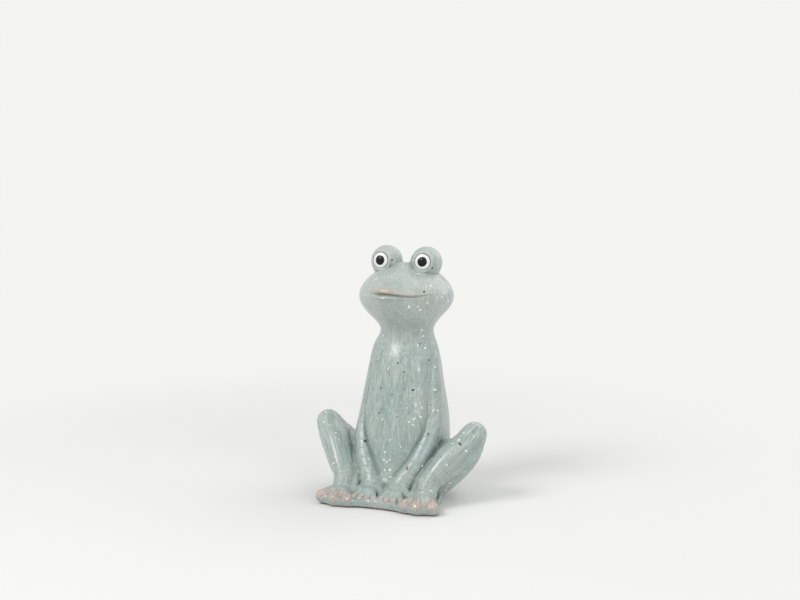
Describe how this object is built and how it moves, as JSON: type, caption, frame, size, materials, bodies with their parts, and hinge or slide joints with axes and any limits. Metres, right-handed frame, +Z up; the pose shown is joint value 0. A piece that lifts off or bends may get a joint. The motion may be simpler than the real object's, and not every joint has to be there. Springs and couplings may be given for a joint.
{
  "type": "frog figurine",
  "caption": "Seated glazed ceramic frog figurine with raised eyes, a hollow body, splayed hind legs and a flat felt-padded slab to stand on.",
  "frame": {"origin": "on the resting plane, in the middle of the footprint's bounding box", "axes": "+Z up; the frog faces -Y; its left side is at +X"},
  "size_m": [0.1724, 0.1337, 0.2409],
  "materials": {
    "sage_glaze": "glossy speckled glaze, wiped off the toes, fingertips and lips, with bare terracotta under the slab",
    "eye_white": "glossy",
    "pupil_black": "glossy",
    "felt": "dense felt"
  },
  "bodies": {
    "root": {"torso": "sage_glaze", "head": "sage_glaze", "eye_bulb_left": "sage_glaze", "eye_bulb_right": "sage_glaze", "eye_white_left": "eye_white", "eye_white_right": "eye_white", "pupil_left": "pupil_black", "pupil_right": "pupil_black", "arm_left": "sage_glaze", "arm_right": "sage_glaze", "hand_left": "sage_glaze", "hand_right": "sage_glaze", "hind_leg_left": "sage_glaze", "hind_leg_right": "sage_glaze", "foot_left": "sage_glaze", "foot_right": "sage_glaze", "base_slab": "sage_glaze", "felt_pads": "felt"}
  },
  "joints": []
}
